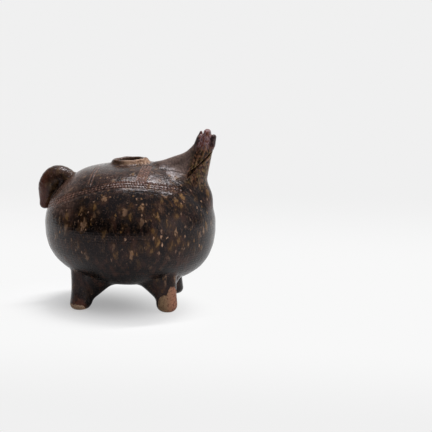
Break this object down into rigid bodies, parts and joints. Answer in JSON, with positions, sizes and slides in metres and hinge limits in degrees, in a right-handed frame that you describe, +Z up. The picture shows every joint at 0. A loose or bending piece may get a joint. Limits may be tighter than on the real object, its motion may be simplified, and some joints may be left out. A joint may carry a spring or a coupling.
{
  "type": "zoomorphic lime pot",
  "caption": "Round hollow stoneware lime pot shaped as an animal, with a small mouth on its back, an upturned head, a tail lying on the rump and stub legs to stand on.",
  "frame": {"origin": "on the ground under the middle of the pot's overall length, in its middle plane", "axes": "+Z up out of the mouth, +X towards the head, +Y to the animal's left"},
  "size_m": [0.1214, 0.115, 0.1195],
  "materials": {
    "iron_glaze": "thick dark brown iron glaze, mottled tan, half glossy",
    "thin_glaze": "thin brown iron glaze over modelled clay",
    "worn_rim": "glaze worn to brown clay on the lip",
    "bare_foot": "glaze lost, bare tan stoneware"
  },
  "bodies": {
    "root": {"thrown_body": "iron_glaze", "mouth_collar": "worn_rim", "neck": "iron_glaze", "head": "thin_glaze", "lower_jaw": "thin_glaze", "tail": "thin_glaze", "leg_front_left": "iron_glaze", "leg_front_right": "bare_foot", "leg_hind_left": "iron_glaze", "leg_hind_right": "iron_glaze", "leg_coil_front_left": "iron_glaze", "leg_coil_front_right": "iron_glaze", "leg_coil_hind_left": "iron_glaze", "leg_coil_hind_right": "iron_glaze"}
  },
  "joints": []
}
